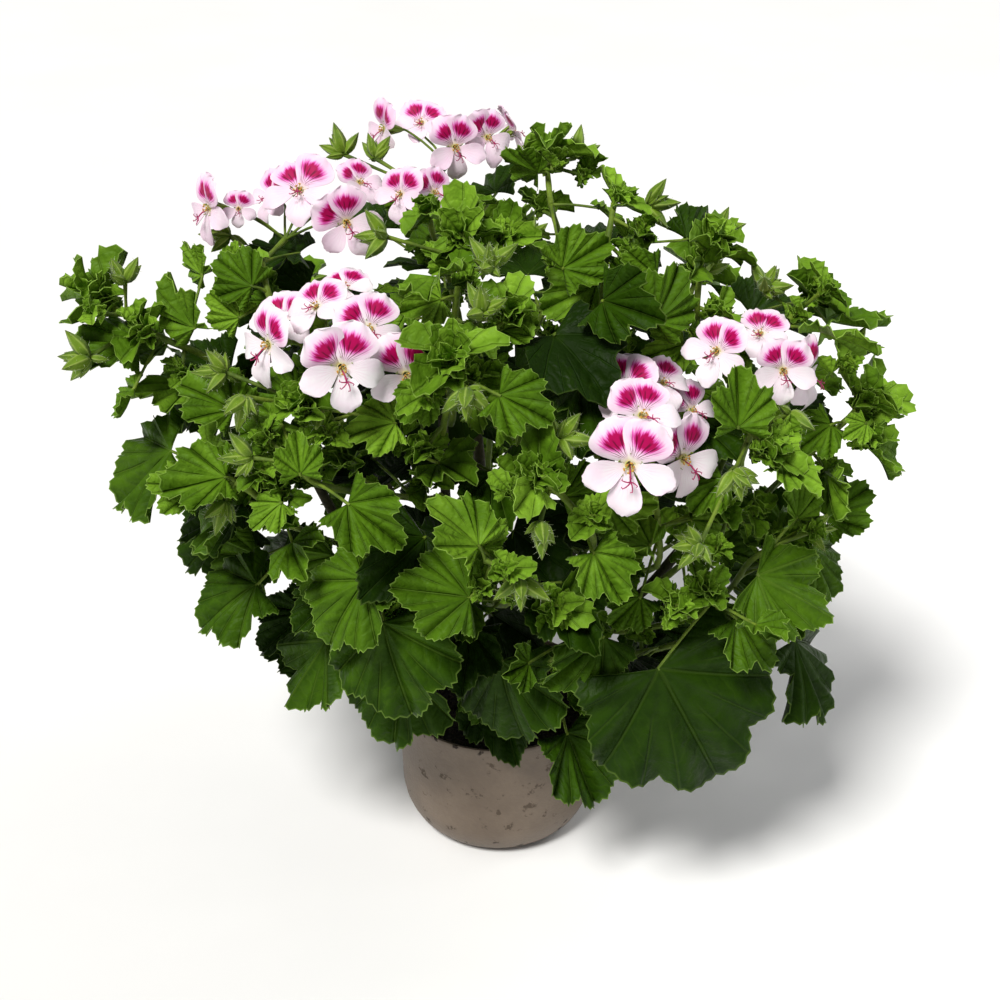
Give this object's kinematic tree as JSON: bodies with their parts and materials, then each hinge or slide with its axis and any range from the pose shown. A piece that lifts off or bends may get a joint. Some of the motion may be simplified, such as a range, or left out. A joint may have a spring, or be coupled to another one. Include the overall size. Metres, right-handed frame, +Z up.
{
  "type": "potted angel pelargonium",
  "caption": "Bushy angel pelargonium with lobed, toothed leaves, bud tufts and blush-white flowers with crimson blotches, growing in a round plastic nursery pot.",
  "frame": {"origin": "centre of the pot's base, on the surface that the pot stands on", "axes": "+Z up, +Y away from somebody who looks at the plant's front, +X to that person's right"},
  "size_m": [0.484, 0.3858, 0.4604],
  "materials": {
    "pot": "matte taupe injection-moulded plastic with soil smudges",
    "soil": "dark moist peat and bark crumbs",
    "wood": "brown-green woody stem with leaf scars",
    "foliage": "soft hairy satin green, paler at the leaf edge",
    "flower": "matte velvety petal, blush white with a crimson blotch"
  },
  "bodies": {
    "root": {"flower_a2_1": "flower", "flower_a2_2": "flower", "flower_a_1": "flower", "flower_a_2": "flower", "flower_a_3": "flower", "flower_a_4": "flower", "flower_a_5": "flower", "flower_b_1": "flower", "flower_b_2": "flower", "flower_b_3": "flower", "flower_b_4": "flower", "flower_b_5": "flower", "flower_b_6": "flower", "flower_c_1": "flower", "flower_c_2": "flower", "flower_c_3": "flower", "flower_c_4": "flower", "flower_c_5": "flower", "flower_c_6": "flower", "flower_c_7": "flower", "flower_d_1": "flower", "flower_d_2": "flower", "flower_d_3": "flower", "flower_d_4": "flower", "flower_d_5": "flower", "flower_d_6": "flower", "flower_e_1": "flower", "flower_e_2": "flower", "flower_e_3": "flower", "flower_e_4": "flower", "pot": "pot", "shoot_back_left": "foliage", "shoot_back_middle": "foliage", "shoot_back_right": "foliage", "shoot_centre": "foliage", "shoot_centre_top": "foliage", "shoot_front_centre": "foliage", "shoot_front_centre_right": "foliage", "shoot_head_a_shoot": "foliage", "shoot_head_b_shoot": "foliage", "shoot_head_c_shoot": "foliage", "shoot_head_d_shoot": "foliage", "shoot_left_far": "foliage", "shoot_left_low": "foliage", "shoot_left_mid": "foliage", "shoot_low_left": "foliage", "shoot_low_right": "foliage", "shoot_right_far": "foliage", "shoot_right_far_upper": "foliage", "shoot_right_front_low": "foliage", "shoot_right_low": "foliage", "shoot_right_mid": "foliage", "shoot_right_upper": "foliage", "shoot_top_right": "foliage", "shoot_top_right_tall": "foliage", "soil": "soil", "woody_stems": "wood"}
  },
  "joints": []
}
